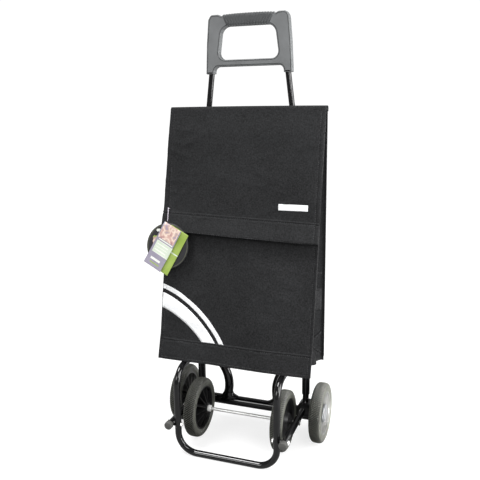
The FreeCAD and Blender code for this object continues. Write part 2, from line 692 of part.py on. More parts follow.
def make_tags():
    """A round swing tag behind a folded card, both on one plastic tag pin."""
    pin_x, pin_z = dim("tag_pin_x"), dim("tag_pin_z")
    lean, up, out = front_lean()
    root = V(pin_x.value, front_y(pin_z, dim("flap_gap") + "flap_cloth").value, pin_z.value)
    tilt = FreeCAD.Rotation(V(1, 0, 0), 90 - math.degrees(lean))
    disc_drop, disc_shift, disc_lift = 92, 6, 1.5
    stem_gap, stem_length, pin_drop = 1.2, 5.3, 42

    def leaf(name, shift, drop, lift, degrees=-27):
        """A printed card that hangs turned in the front's plane, lowered along its own length."""
        card = doc.addObject("Part::Box", name)
        for prop, size in (("Length", "tag_card_width"), ("Width", "tag_card_length"),
                           ("Height", "tag_card")):
            bind(card, prop, size)
        turn = tilt * FreeCAD.Rotation(V(0, 0, 1), degrees)
        corner = V(-dim("tag_card_width").value / 2,
                   -dim("tag_card_top").value - dim("tag_card_length").value - drop, 0)
        card.Placement = FreeCAD.Placement(
            root + V(shift, 0, 0) + out * lift + turn.multVec(corner), turn)
        node(name, card)

    disc = doc.addObject("Part::Cylinder", "tag_disc")
    bind(disc, "Radius", "tag_disc_radius")
    bind(disc, "Height", "tag_card")
    disc.Placement = FreeCAD.Placement(
        root + V(disc_shift, 0, 0) - up * disc_drop + out * disc_lift, tilt)
    node("tag_disc", disc)
    leaf("tag_card_back", 65, 9, 3.0)
    leaf("tag_card_front", 43, 0, 4.5)

    def pin_piece(name, length, start, direction):
        item = doc.addObject("Part::Cylinder", name)
        bind(item, "Radius", "tag_pin_radius")
        bind(item, "Height", length)
        item.Placement = FreeCAD.Placement(start, FreeCAD.Rotation(V(0, 0, 1), direction))
        return item

    stem = pin_piece("tag_pin_stem", stem_length, root + out * stem_gap, out)
    elbow = root + out * (stem_gap + stem_length) + up * (2 * dim("tag_pin_radius").value)
    drop = pin_piece("tag_pin_drop", pin_drop, elbow, -up)
    node("tag_pin", fuse("tag_pin", stem, drop))


def check_and_export():
    doc.recompute()
    broken = [item.Name for item in doc.Objects
              if "Invalid" in item.State or "Error" in item.State]
    if broken:
        raise RuntimeError(f"failed objects: {broken}")
    os.makedirs("parts", exist_ok=True)
    for label, item in NODES.items():
        shape = item.Shape
        if shape.isNull() or not shape.isValid() or not shape.Solids:
            raise RuntimeError(f"{label} has no valid solid")
        if item.Label != label:
            raise RuntimeError(f"{label} was renamed {item.Label}")
        shape.exportStep(f"parts/{label}.step")
    print(len(NODES), "nodes written")


fill_sheet()
make_rear_frame()
rail_bar = make_rails()
make_foot_loop()
make_foot_bracket(rail_bar)
grip_bar = make_grip_tubes()
make_cross_bars()
make_loop_bolts()
make_handle(grip_bar)
for side, word in ((1, "right"), (-1, "left")):
    make_rear_wheel(side, word)
    make_front_wheel(side, word)
make_hub_caps()
make_axles()
make_bag()
make_stripes()
make_flap()
make_tags()
check_and_export()
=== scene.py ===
import bisect
import functools
from math import acos, asin, atan, copysign, cos, exp, hypot, pi, radians, sin, sqrt, tan

import bmesh
import bpy
from mathutils import Matrix, Vector, noise
from mathutils.bvhtree import BVHTree
from mathutils.geometry import tessellate_polygon


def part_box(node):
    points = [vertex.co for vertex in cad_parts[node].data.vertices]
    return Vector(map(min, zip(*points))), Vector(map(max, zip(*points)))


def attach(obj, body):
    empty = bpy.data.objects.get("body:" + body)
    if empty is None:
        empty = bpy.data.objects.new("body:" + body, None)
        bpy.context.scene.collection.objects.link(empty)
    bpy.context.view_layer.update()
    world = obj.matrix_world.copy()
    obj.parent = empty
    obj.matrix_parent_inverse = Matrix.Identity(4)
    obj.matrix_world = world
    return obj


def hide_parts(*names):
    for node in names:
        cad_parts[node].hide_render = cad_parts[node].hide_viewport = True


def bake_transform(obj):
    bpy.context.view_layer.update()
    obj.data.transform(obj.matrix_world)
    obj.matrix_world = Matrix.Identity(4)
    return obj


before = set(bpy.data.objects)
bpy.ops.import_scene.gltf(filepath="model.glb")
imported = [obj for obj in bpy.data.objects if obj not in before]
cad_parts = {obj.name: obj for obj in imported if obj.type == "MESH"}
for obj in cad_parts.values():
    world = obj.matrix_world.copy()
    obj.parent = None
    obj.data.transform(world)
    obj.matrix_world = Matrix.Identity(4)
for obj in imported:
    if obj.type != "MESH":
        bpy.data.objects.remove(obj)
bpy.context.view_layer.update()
MM = 0.001


# Camera, floor and light


def new_object(name, data):
    item = bpy.data.objects.new(name, data)
    bpy.context.scene.collection.objects.link(item)
    return item


def make_camera():
    """A camera in front, a little to the right and above, that looks down at the bag."""
    azimuth, pitch, roll = (radians(a) for a in (20.4, 12.3, -0.8))
    target, distance = Vector((-0.023, 0, 0.5091)), 1.569
    camera = new_object("camera", bpy.data.cameras.new("camera"))
    camera.matrix_world = (Matrix.Translation(target) @ Matrix.Rotation(azimuth, 4, "Z")
                           @ Matrix.Rotation(pi / 2 - pitch, 4, "X")
                           @ Matrix.Rotation(roll, 4, "Z") @ Matrix.Translation((0, 0, distance)))
    camera.data.sensor_width, camera.data.lens = 36, 47.0
    camera.data.clip_start, camera.data.clip_end = 0.05, 60
    bpy.context.scene.camera = camera


def lamp_at(name, kind, place, aim, power, **shape):
    """A lamp that points at aim and is not seen itself."""
    lamp = bpy.data.lights.new(name, kind)
    lamp.energy = power
    for setting, value in shape.items():
        setattr(lamp, setting, value)
    item = new_object(name, lamp)
    item.location = place
    item.rotation_euler = (Vector(aim) - Vector(place)).to_track_quat("-Z", "Y").to_euler()
    item.visible_camera = False


def make_sky(light, shown):
    """A white sky of one strength for the object and another for the camera."""
    world = bpy.data.worlds.new("studio")
    bpy.context.scene.world = world
    world.use_nodes = True
    tree = world.node_tree
    seen, mix = (tree.nodes.new(kind) for kind in ("ShaderNodeLightPath", "ShaderNodeMixShader"))
    tree.links.new(seen.outputs["Is Camera Ray"], mix.inputs["Fac"])
    for slot, sky, strength in ((1, tree.nodes["Background"], light),
                                (2, tree.nodes.new("ShaderNodeBackground"), shown)):
        sky.inputs["Color"].default_value = (1, 1, 1, 1)
        sky.inputs["Strength"].default_value = strength
        tree.links.new(sky.outputs["Background"], mix.inputs[slot])
    tree.links.new(mix.outputs["Shader"], tree.nodes["World Output"].inputs["Surface"])


def make_studio():
    """A white room with two suns, three panels and a narrow lamp on the rear wheel."""
    make_sky(light=0.26, shown=1.05)
    middle_of_bag = (0, 0, 0.5)
    for name, place, strength, degrees in (("top", (-0.9, -0.5, 3.0), 2.7, 22),
                                           ("fill", (-1.2, -2.3, 1.9), 0.8, 20)):
        lamp_at(name, "SUN", place, middle_of_bag, strength, angle=radians(degrees))
    for name, place, aim, power, width, height, degrees in (
            ("strip", (1.0, -1.2, 1.6), (0.05, -0.05, 0.75), 17, 0.5, 1.2, 180),
            ("window", (2.7, -0.2, 1.0), middle_of_bag, 105, 1.3, 2.2, 180),
            ("behind", (1.1, 2.7, 0.7), (0, 0, 0.4), 16, 1.6, 1.6, 180),
            ("low", (0.80, -0.52, 0.14), (0.23, 0.07, 0.075), 0.42, 0.1, 0.1, 20)):
        lamp_at(name, "AREA", place, aim, power, shape="RECTANGLE", size=width, size_y=height,
                spread=radians(degrees))
    half_floor = 12
    grid_object("floor", 2, 2, lambda u, v: Vector((2 * u - 1, 2 * v - 1, 0))
                         * half_floor, [floor_material()])
    bpy.context.scene.view_settings.view_transform = "Standard"


# Mesh helpers


def face_outward(mesh, weld=False):
    """Turn the normals outward; weld first joins doubled points and closes open ends."""
    work = bmesh.new()
    work.from_mesh(mesh)
    if weld:
        bmesh.ops.remove_doubles(work, verts=work.verts, dist=1e-6)
        bmesh.ops.holes_fill(work, edges=[e for e in work.edges if e.is_boundary], sides=0)
    bmesh.ops.recalc_face_normals(work, faces=work.faces)
    work.to_mesh(mesh)
    work.free()


def mesh_object(name, vertices, faces, materials, sharp=32):
    """A smooth-shaded object whose edges over so many degrees stay sharp."""
    mesh = bpy.data.meshes.new(name)
    mesh.from_pydata([tuple(v) for v in vertices], [], faces)
    for material in materials:
        mesh.materials.append(material)
    face_outward(mesh)
    mesh.shade_smooth()
    mesh.set_sharp_from_angle(angle=radians(sharp))
    return new_object(name, mesh)


def turns(count, start=0.0):
    """Directions all round, as angles."""
    return [2 * pi * (k + start) / count for k in range(count)]


def net_faces(rows, count, closed=True, looped=False, capped=False):
    """Faces between rows of count points. closed joins each row's ends, looped joins the last
    row to the first, and capped closes the first and the last row."""
    faces = [(j * count + k, j * count + (k + 1) % count,
              (j + 1) % rows * count + (k + 1) % count, (j + 1) % rows * count + k)
             for j in range(rows if looped else rows - 1)
             for k in range(count if closed else count - 1)]
    if capped:
        faces += [tuple(range(count)), tuple(range((rows - 1) * count, rows * count))]
    return faces


def slot_faces(item, choose):
    """Give each face the material slot that choose(centre, normal) returns."""
    for face in item.data.polygons:
        face.material_index = int(choose(face.center, face.normal))


def grid_object(name, across, down, place, materials, **options):
    """A sheet of points place(u, v); across and down are counts, or lists of u and v."""
    us, vs = ([k / (n - 1) for k in range(n)] if isinstance(n, int) else n for n in (across, down))
    return mesh_object(name, [place(u, v) for v in vs for u in us],
                       net_faces(len(vs), len(us), closed=False), materials, **options)


def spaced(count, *crowds):
    """Values from 0 to 1, evenly spread, with 12 more around each crowd (middle, half width)."""
    values = {round(k / (count - 1), 6) for k in range(count)}
    for centre, half in crowds:
        values |= {round(centre + half * (k / 6 - 1), 6) for k in range(13)}
    return sorted(v for v in values if 0 <= v <= 1)


def piece(item, body, slot, *nodes, thick=None):
    """Let a finished object ride on a body and hide the CAD nodes it stands for; the slot is not
    used.
    A sheet gets its thickness first, as (thickness, offset)."""
    if thick:
        thicken(item, *thick)
    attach(item, body)
    if nodes:
        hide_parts(*nodes)
    return item


def make_piece(name, part, materials, body, slot, *nodes, **options):
    """A finished piece from its vertices and faces."""
    return piece(mesh_object(name, *part, materials, **options), body, slot, *nodes)


def thicken(item, thickness, offset):
    """Give a sheet its thickness, inward (-1), both ways (0) or outward (1)."""
    solidify = item.modifiers.new("thickness", "SOLIDIFY")
    solidify.thickness, solidify.offset = thickness, offset
    solidify.use_even_offset = True
    graph = bpy.context.evaluated_depsgraph_get()
    finished = bpy.data.meshes.new_from_object(item.evaluated_get(graph))
    item.modifiers.clear()
    item.data = finished


def join_parts(parts):
    """One list of vertices and one of faces from several."""
    vertices, faces = [], []
    for some_vertices, some_faces in parts:
        base = len(vertices)
        vertices += some_vertices
        faces += [tuple(base + i for i in face) for face in some_faces]
    return vertices, faces


def smooth_line(points, steps):
    """Catmull-Rom points along a line of control points."""
    ends = [points[0], *points, points[-1]]
    line = []
    for a, b, c, d in zip(ends, ends[1:], ends[2:], ends[3:]):
        for k in range(steps):
            t = k / steps
            line.append(tuple(
                0.5 * (2 * q + (r - p) * t + (2 * p - 5 * q + 4 * r - s) * t * t
                       + (3 * q - p - 3 * r + s) * t ** 3) for p, q, r, s in zip(a, b, c, d)))
    return line + [tuple(points[-1])]


def revolved(profile, segments, closed=True, shape=None):
    """A profile of (along, radius) turned about X; shape(angle, along, radius) may move points."""
    vertices = []
    for angle in turns(segments):
        for along, radius in profile:
            r = shape(angle, along, radius) if shape else radius
            vertices.append(Vector((along, r * cos(angle), r * sin(angle))))
    count = len(profile)
    faces = net_faces(segments, count, closed, looped=True)
    if not closed:
        faces += [tuple(range(end, len(vertices), count)) for end in (0, count - 1)]
    return vertices, faces


AXES = {axis: Matrix.Rotation(radians(degrees), 4, "Z")
        for axis, degrees in (("+x", 0), ("-x", 180), ("+y", 90), ("-y", -90))}
SIDES = (("left", -1), ("right", 1))


def moved(part, centre, axis="+x"):
    """A part given in millimetres about the origin and X, put at centre along an axis."""
    vertices, faces = part
    turn = Matrix.Translation(centre) @ AXES[axis] @ Matrix.Scale(MM, 4)
    return [turn @ v for v in vertices], faces


def smoothstep(low, high, value):
    t = min(1.0, max(0.0, (value - low) / (high - low)))
    return t * t * (3 - 2 * t)


def on_box(node, x=0.5, y=0.5, z=0.5):
    """A point of a node's box, at shares of its width, depth and height."""
    low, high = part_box(node)
    return Vector([a + (b - a) * share for a, b, share in zip(low, high, (x, y, z))])


# Materials


class Finish:
    """A Principled material; values that are the same all over sit on the shader's sockets."""

    def __init__(self, name, colour, roughness=0.5, **sockets):
        self.material = bpy.data.materials.new(name)
        self.material.use_nodes = True
        self.tree = self.material.node_tree
        self.shader = self.tree.nodes["Principled BSDF"]
        self.shader.inputs["Base Color"].default_value = (*colour, 1)
        self.set(self.shader, Roughness=roughness, **sockets)

    def set(self, node, **settings):
        """Set a node's sockets, with _ for a space in their names, or else its properties."""
        for name, value in settings.items():
            if name.replace("_", " ") in node.inputs:
                node.inputs[name.replace("_", " ")].default_value = value
            else:
                setattr(node, name, value)
        return node

    def add(self, kind, **settings):
        return self.set(self.tree.nodes.new("ShaderNode" + kind), **settings)

    def link(self, source, output, target, socket):
        self.tree.links.new(source.outputs[output], target.inputs[socket])

    def texture(self, kind, **settings):
        """A texture node laid in the object's own coordinates."""
        node = self.add("Tex" + kind, **settings)
        self.link(self.add("TexCoord"), "Object", node, "Vector")
        return node

    def noise(self, scale, detail=3.0, roughness=0.55):
        return self.texture("Noise", Scale=scale, Detail=detail, Roughness=roughness)

    def threads(self, direction, pitch):
        """Parallel threads across one axis, a given pitch apart."""
        return self.texture("Wave", bands_direction=direction, Distortion=0.6, Detail_Scale=2.0,
                            Scale=2 * pi / (20 * pitch))

    def colour_from(self, source, output, colours, positions):
        """Base colour from a ramp over a texture's value."""
        node = self.add("ValToRGB")
        elements = node.color_ramp.elements
        while len(elements) < len(colours):
            elements.new(0.5)
        for element, position, colour in zip(elements, positions, colours):
            element.position, element.color = position, (*colour, 1)
        self.link(source, output, node, "Fac")
        self.link(node, "Color", self.shader, "Base Color")

    def bump_from(self, source, output, strength, distance):
        """Add a bump on top of any that the shader already has."""
        bump = self.add("Bump", Strength=strength, Distance=distance)
        self.link(source, output, bump, "Height")
        for below in self.shader.inputs["Normal"].links:
            self.link(below.from_node, "Normal", bump, "Normal")
        self.link(bump, "Normal", self.shader, "Normal")

    def combined(self, first, second, factor=None):
        """The product of two outputs (node, name), or first * factor + second."""
        node = self.add("Math", operation="MULTIPLY" if factor is None else "MULTIPLY_ADD")
        self.link(*first, node, 0)
        self.link(*second, node, 1 if factor is None else 2)
        if factor is not None:
            node.inputs[1].default_value = factor
        return node


def shades(colour, *factors):
    return [tuple(c * f for c in colour) for f in factors]


def floor_material():
    """Pale paper that shows whiter to the camera than it shines back on the object."""
    colour = (0.30, 0.30, 0.30)
    finish = Finish("floor", colour, 0.75, Emission_Color=(1, 1, 1, 1))
    glow = finish.add("Math", operation="MULTIPLY")
    glow.inputs[1].default_value = 0.76
    finish.link(finish.add("LightPath"), "Is Camera Ray", glow, 0)
    finish.link(glow, "Value", finish.shader, "Emission Strength")
    finish.colour_from(finish.noise(3.0), "Fac", shades(colour, 0.99, 1.01), (0.3, 0.7))
    return finish.material


def uneven(name, colour, broad, shade, rough, fine, bump, span=(0.3, 0.7), **sockets):
    """A broad noise shades the colour and the roughness; a fine noise raises the surface."""
    finish = Finish(name, colour, **sockets)
    patches = finish.noise(*broad)
    finish.colour_from(patches, "Fac", shades(colour, *shade), span)
    spread = finish.add("MapRange", To_Min=rough[0], To_Max=rough[1])
    finish.link(patches, "Fac", spread, "Value")
    finish.link(spread, "Result", finish.shader, "Roughness")
    finish.bump_from(finish.noise(*fine), "Fac", *bump)
    return finish.material


def moulded(name, colour, roughness, grain=900.0):
    """Injection-moulded plastic with a fine spark-eroded grain."""
    return uneven(name, colour, broad=(22.0, 4.0), shade=(0.86, 1.14), fine=(grain, 2.0),
                  rough=(roughness - 0.08, roughness + 0.1), bump=(0.35, 0.00018))


def rubber(name, colour):
    """Rubber with dusty patches."""
    return uneven(name, colour, broad=(30.0, 6.0, 0.7), shade=(0.62, 1.5), span=(0.3, 0.72),
                  rough=(0.36, 0.56), fine=(600.0, 3.0), bump=(0.4, 0.0002))


def cloth(name, colour, weave="XZ", pitch=0.0011, spread=(0.25, 2.1), sheen=0.03):
    """Plain-woven polyester: two sets of threads, slubs, faint mottling, fuzz and a soft sheen."""
    finish = Finish(name, colour, 0.75, Sheen_Weight=sheen, Sheen_Roughness=0.5,
                    Specular_IOR_Level=0.2)
    warp, weft = (finish.threads(axis, pitch) for axis in weave)
    threads = finish.combined((warp, "Fac"), (weft, "Fac"))
    mottle, slubs = finish.noise(7.0, 4.0, 0.6), finish.noise(300.0, 2.0, 0.5)
    blend = finish.combined((slubs, "Fac"), (mottle, "Fac"), 2.2)
    total = finish.combined((threads, "Value"), (blend, "Value"), 0.5)
    scaled = finish.add("MapRange", From_Min=1.1, From_Max=2.4)
    finish.link(total, "Value", scaled, "Value")
    finish.colour_from(scaled, "Result", shades(colour, *spread), (0.0, 1.0))
    finish.bump_from(threads, "Value", 0.6, 0.0003)
    finish.bump_from(slubs, "Fac", 0.5, 0.0006)
    return finish.material


def printed(name, colours, scale, roughness=0.3, coat=0.3):
    """Card printed with soft patches of several colours."""
    finish = Finish(name, colours[0], roughness, Coat_Weight=coat, Coat_Roughness=0.15)
    finish.colour_from(finish.noise(scale, 1.5, 0.4), "Fac", colours,
                       [0.3 + 0.4 * i / (len(colours) - 1) for i in range(len(colours))])
    finish.bump_from(finish.noise(900.0, 2.0), "Fac", 0.15, 0.0001)
    return finish.material


PAINT = uneven("black_paint", (0.004, 0.004, 0.0045), broad=(26.0, 5.0), shade=(0.8, 2.6),
               span=(0.45, 0.8), rough=(0.05, 0.14), fine=(420.0, 2.0), bump=(0.10, 0.0005),
               Coat_Weight=0.2, Coat_Roughness=0.04, Specular_IOR_Level=0.4)
HANDLE = moulded("handle_plastic", (0.150, 0.155, 0.158), 0.55)
# The grip's own dark grey, which is also painted as shade on the floor of the handle's groove.
GRIP_AND_GROOVE_SHADE = moulded("grip_plastic", (0.060, 0.063, 0.065), 0.6)
BLACK = moulded("black_plastic", (0.007, 0.007, 0.0075), 0.38)
RIM = moulded("rear_rim_plastic", (0.09, 0.09, 0.086), 0.3)
CAP = moulded("cap_plastic", (0.14, 0.143, 0.147), 0.45)
# Pale grey for the grip's end seams: a painted highlight.
SEAM_HIGHLIGHT = moulded("grip_seam_painted_highlight", (0.42, 0.42, 0.43), 0.5)
RAIL_CAP = moulded("rail_cap_plastic", (0.075, 0.075, 0.07), 0.5)
CLIP = moulded("clip_plastic", (0.82, 0.82, 0.80), 0.35)
RUBBER = rubber("tyre_rubber", (0.092, 0.094, 0.080))
# Near-black rubber for the groove faces: painted shade in the tread's grooves.
GROOVE_SHADE = rubber("tyre_groove_painted_shade", (0.006, 0.006, 0.0055))
ZINC = uneven("zinc", (0.90, 0.90, 0.88), broad=(60.0, 4.0), shade=(0.78, 1.1),
              rough=(0.22, 0.42), fine=(1100.0, 2.0), bump=(0.25, 0.0001), Metallic=0.5)
BAG = cloth("bag_cloth", (0.0115, 0.0118, 0.0126))
ROOF = cloth("roof_cloth", (0.0115, 0.0118, 0.0126), weave="XY")
WEBBING = cloth("webbing", (0.020, 0.020, 0.021), weave="YZ", pitch=0.0018)
THREAD = cloth("thread", (0.045, 0.045, 0.047), pitch=0.0006)
BAND = cloth("band", (0.86, 0.87, 0.88), pitch=0.0008, spread=(0.97, 1.08), sheen=0.0)
BOARD = moulded("board", (0.10, 0.075, 0.05), 0.7, 300.0)
NYLON = moulded("pin_nylon", (0.60, 0.55, 0.62), 0.4)

make_camera()
make_studio()


# Steel chassis, in the shapes of the CAD


def repaint(material, nodes):
    """Show CAD nodes as they are, in one material."""
    for name in nodes:
        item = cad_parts[name]
        item.data.materials.clear()
        item.data.materials.append(material)


repaint(PAINT,
        [f"{part}_{side}" for part in ("upright", "grip_tube", "rail") for side, _ in SIDES]
        + ["cross_tube", "foot_loop", "middle_bar", "hanger_bar"])
repaint(BLACK,
        [f"{part}_{side}" for part in ("foot_bracket", "tube_collar") for side, _ in SIDES]
        + ["loop_spacers", "front_bushes"])
repaint(ZINC, ["front_axle", "rear_stub_left", "rear_stub_right", "rear_washers"])
repaint(BOARD, ["base_board"])
repaint(WEBBING, ["flap_hook_tape", "bag_loop_tape"])
repaint(NYLON, ["tag_pin"])


# Wheels

GROOVES = 82


def tyre_shape(angle, along, radius):
    """Diagonal ribs across the tread, fading out on the shoulders."""
    slant, depth = 0.011, 2.2
    wave = cos(GROOVES * (angle + slant * along))
    return radius - depth * smoothstep(67.0, 71.0, radius) * smoothstep(-0.45, 0.35, wave)


def tyre_part():
    half = [(0, 75), (4, 75), (8, 74.5), (11.4, 72.8), (13.8, 69.6), (15.3, 65.5), (15.5, 62.0),
            (14.7, 58.9), (13.4, 57.6), (13.9, 56.6), (13.4, 55.7), (12.6, 55.1)]
    right = smooth_line(half, 3)
    profile = right + [(-along, radius) for along, radius in reversed(right[1:])]
    return revolved(profile, GROOVES * 8, shape=tyre_shape)


def in_groove(spot):
    """Whether a point of the tyre is cut below the tread's own rounded outline."""
    crown = 74.9 - 0.0178 * spot.x ** 2 - (0.55 * max(0.0, abs(spot.x) - 10.5)) ** 2
    return 66.5 < hypot(spot.y, spot.z) < crown - 0.75 and abs(spot.x) < 14.5


def rim_part(outward, hub_in, hub_out):
    """Rim with a dished web; hub, radial ribs and bosses on the side away from outward."""
    bore, ribs, boss_circle = 5.3, 12, 42.0
    profile = [(-hub_in, bore), (hub_out, bore), (hub_out, 17.0), (hub_out - 0.8, 18.6),
               (7.6, 22.0), (6.2, 27.0), (5.8, 33.0), (6.4, 40.0), (7.8, 44.5), (9.6, 47.0),
               (10.2, 48.6), (10.4, 50.0), (11.6, 50.6), (12.8, 51.6), (13.2, 53.4), (13.0, 55.1),
               (-13.0, 55.1), (-13.4, 54.0), (-13.0, 51.6), (-12.0, 51.0), (2.4, 50.0),
               (3.0, 48.6), (3.0, 15.4), (1.6, 14.4), (1.0 - hub_in, 12.6), (-hub_in, 11.6)]
    rib = [(3.0 - hub_in, 12.0, 0.9), (-9.5, 50.8, 0.8), (3.6, 50.8, 1.3), (3.6, 12.0, 1.5)]
    boss = revolved([(0, 0.01), (0, 4.0), (-4.6 * outward, 3.4), (-5.4 * outward, 2.4),
                     (-5.4 * outward, 0.01)], 16, closed=False)
    parts = [revolved([(outward * a, r) for a, r in profile], 96)]
    for angle, boss_angle in zip(turns(ribs), turns(ribs, 0.5)):
        turn, boss_turn = (Matrix.Rotation(a, 4, "X") for a in (angle, boss_angle))
        parts.append(([turn @ Vector((outward * a, r, side * t)) for side in (-1, 1)
                       for a, r, t in rib], net_faces(2, len(rib), capped=True)))
        place = boss_turn @ Matrix.Translation((outward * 3.4, boss_circle, 0))
        parts.append(([place @ v for v in boss[0]], boss[1]))
    return join_parts(parts)


def hub_cap_part(outward):
    profile = [(9.1, 12.0), (9.1, 21.8), (9.7, 22.5), (11.4, 22.5), (12.5, 21.9), (13.0, 20.6),
               (12.7, 19.4), (12.7, 18.8), (13.3, 18.0), (13.8, 12.0), (14.0, 6.0), (14.0, 0.01),
               (11.8, 0.01), (11.8, 11.0)]
    return revolved([(outward * a, r) for a, r in profile], 72)


def make_wheels():
    """The rear wheels have short hubs and caps, the front wheels long hubs."""
    for place, hub_in, hub_out, plastic in (("rear", 15.5, 9, RIM), ("front", 25, 16, BLACK)):
        for side, outward in SIDES:
            centre, body = on_box(f"{place}_tyre_{side}"), f"{place}_wheel_{side}"
            tyre = make_piece(f"{place}_tyre_{side}_tread", moved(tyre_part(), centre),
                              [RUBBER, GROOVE_SHADE], body, "tyre_rubber", f"{place}_tyre_{side}")
            # Faces cut into the grooves take the near-black rubber, as painted shade.
            slot_faces(tyre, lambda spot, _, hub=centre: in_groove((spot - hub) / MM))
            make_piece(f"{place}_rim_{side}_moulded",
                       moved(rim_part(outward, hub_in, hub_out), centre), [plastic], body,
                       "black_plastic", f"{place}_rim_{side}", sharp=28)
            if place == "rear":
                make_piece(f"hub_cap_{side}_domed", moved(hub_cap_part(outward), centre), [CAP],
                           body, "cap_plastic", f"hub_cap_{side}")


make_wheels()


# Small parts


def several(node, suffix, part, spots, material, slot, **options):
    """The same part at several spots (centre, axis), as one piece of the chassis."""
    make_piece(f"{node}_{suffix}", join_parts([moved(part, *spot) for spot in spots]), [material],
               "chassis", slot, node, **options)


def turned(*profile):
    return revolved(profile, 48, closed=False)


def both_sides(reach, y, z, left_axis, right_axis):
    return [(Vector((-reach, y, z)), left_axis), (Vector((reach, y, z)), right_axis)]


def hexagon_part(across, height, chamfer):
    """A hexagon head about X with chamfered corners."""
    radius = across / sqrt(3)
    return revolved([(0, radius), (height - chamfer, radius), (height, radius - 1.4 * chamfer)],
                    6, closed=False)


def make_hardware():
    """Moulded caps and plugs, clips and nuts on the front axle, bolts through the flat bars."""
    for side, sign in SIDES:
        several(f"rail_cap_{side}", "moulded",
                turned((0, 0.01), (0, 7.5), (0.5, 8.9), (1.6, 9.8), (3.2, 10.0), (11.2, 10.0),
                       (12.0, 9.4), (12.0, 8.05)),
                [(on_box(f"rail_cap_{side}", y=0), "+y")], RAIL_CAP, "cap_plastic")
        outer, inward = (1, "-x") if sign > 0 else (0, "+x")
        several(f"cross_tube_plug_{side}", "moulded",
                turned((0, 0.01), (0, 10.5), (0.4, 12.2), (1.2, 13.0), (2.4, 13.0), (2.4, 11.7),
                       (14, 11.7)),
                [(on_box(f"cross_tube_plug_{side}", x=outer), inward)], BLACK, "black_plastic")
    plug, clip = on_box("loop_plugs", x=1, y=1), on_box("front_hub_clips", x=1)
    several("loop_plugs", "moulded",
            turned((0, 0.01), (0, 6.4), (0.5, 7.6), (1.3, 8.0), (2.0, 8.0), (2.0, 6.7), (12, 6.7)),
            both_sides(plug.x - 8 * MM, plug.y, plug.z, "-y", "-y"), RAIL_CAP, "cap_plastic")
    several("front_hub_clips", "domed",
            turned((0, 4.1), (0, 6.2), (0.6, 7.6), (2.0, 8.4), (5.0, 8.5), (7.0, 8.5), (7.0, 4.1)),
            both_sides(clip.x - 7 * MM, clip.y, clip.z, "-x", "+x"), CLIP, "clip_plastic")
    several("front_axle_nuts", "domed",
            turned((0, 0.01), (0, 6.5), (0.8, 6.5), (2.4, 5.4), (3.4, 3.4), (3.5, 0.01)),
            both_sides(RAIL_OUTSIDE, clip.y, clip.z, "-x", "+x"), BLACK, "black_plastic")
    for node, across in (("middle_bar_bolts", 9), ("hanger_bar_bolts", 8)):
        low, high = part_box(node)
        several(node, "hex", hexagon_part(across, 4, 0.9),
                both_sides(high.x - (high.z - low.z) / 2, low.y, (low.z + high.z) / 2, "+y", "+y"),
                ZINC, "zinc", sharp=25)


def make_loop_bolts():
    """Button heads outside and hexagon nuts inside, on legs and arms of the foot loop."""
    low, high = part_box("loop_bolts")
    upright = on_box("upright_right", x=1)
    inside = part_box("foot_loop")[1].x - 16 * MM
    head = revolved([(0, 0.01), (0, 6.0), (1.2, 6.0), (2.6, 4.9), (3.5, 3.2), (3.6, 2.2),
                     (2.2, 2.0), (2.2, 0.01)], 36, closed=False)
    nut = hexagon_part(10, 4, 0.8)
    parts = []
    for outside, y, z in ((RAIL_OUTSIDE, low.y + 6 * MM, on_box("rail_cap_right").z),
                          (upright.x, upright.y, high.z - 6 * MM)):
        parts += [moved(head, *spot) for spot in both_sides(outside, y, z, "-x", "+x")]
        parts += [moved(nut, *spot) for spot in both_sides(inside, y, z, "+x", "-x")]
    make_piece("loop_bolts_detailed", join_parts(parts), [ZINC], "chassis", "zinc", "loop_bolts",
               sharp=25)


RAIL_OUTSIDE = on_box("rail_right").x + 8 * MM
make_hardware()
make_loop_bolts()


# Braces


def make_braces():
    """Each brace curves from its upright in to a waist and flares out where it is welded on."""
    radius, depth = 10.0, on_box("brace_right").y
    waist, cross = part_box("brace_right")[0].x / MM + radius, on_box("cross_tube").z / MM
    top_bend, foot_bend, waist_z = 93.0, 100.0, cross + 46
    steps, around = 45, turns(40)
    for side, sign in SIDES:
        vertices = []
        for degrees in (-29 + 107 * k / (steps - 1) for k in range(steps)):
            turn = radians(degrees)
            bend = foot_bend if degrees < 0 else top_bend
            x, z = waist + bend * (1 - cos(turn)), waist_z + bend * sin(turn)
            foot, top = smoothstep(cross + 36, cross + 8, z), smoothstep(64, 78, degrees)
            for angle in around:
                flare = 7 if cos(angle) > 0 else 32
                wide = (radius + 2 + flare * foot ** 3 + 3 * top ** 2) * cos(angle)
                deep = (radius + 1.2 * foot ** 2) * sin(angle)
                vertices.append(Vector((sign * (x + wide * cos(turn)) * MM, depth + deep * MM,
                                        (z - wide * sin(turn) * (1 - foot)) * MM)))
        make_piece(f"brace_{side}_welded", (vertices, net_faces(steps, len(around), capped=True)),
                   [PAINT], "chassis", "black_paint", f"brace_{side}")


make_braces()


# Handle


def rounded_outline(corners, steps=8):
    """A closed outline through corners (u, v, radius), each corner turned into an arc."""
    outline = []
    for k, (u, v, radius) in enumerate(corners):
        here = Vector((u, v))
        before = (Vector(corners[k - 1][:2]) - here).normalized()
        after = (Vector(corners[(k + 1) % len(corners)][:2]) - here).normalized()
        half = before.angle(after) / 2
        centre = here + (before + after).normalized() * radius / sin(half)
        reach = radius / tan(half)
        first, last = here + before * reach - centre, here + after * reach - centre
        sweep = first.angle_signed(last)
        outline += [centre + Matrix.Rotation(-sweep * i / steps, 2) @ first
                    for i in range(steps + 1)]
    return outline


def inset(outline, distance):
    """Move a closed outline to its left by a distance."""
    result = []
    for before, here, after in zip(outline[-1:] + outline, outline, outline[1:] + outline):
        normals = [Vector((-d.y, d.x)).normalized() for d in (here - before, after - here)
                   if d.length > 1e-6]
        result.append(here + sum(normals, Vector((0, 0))).normalized() * distance)
    return result


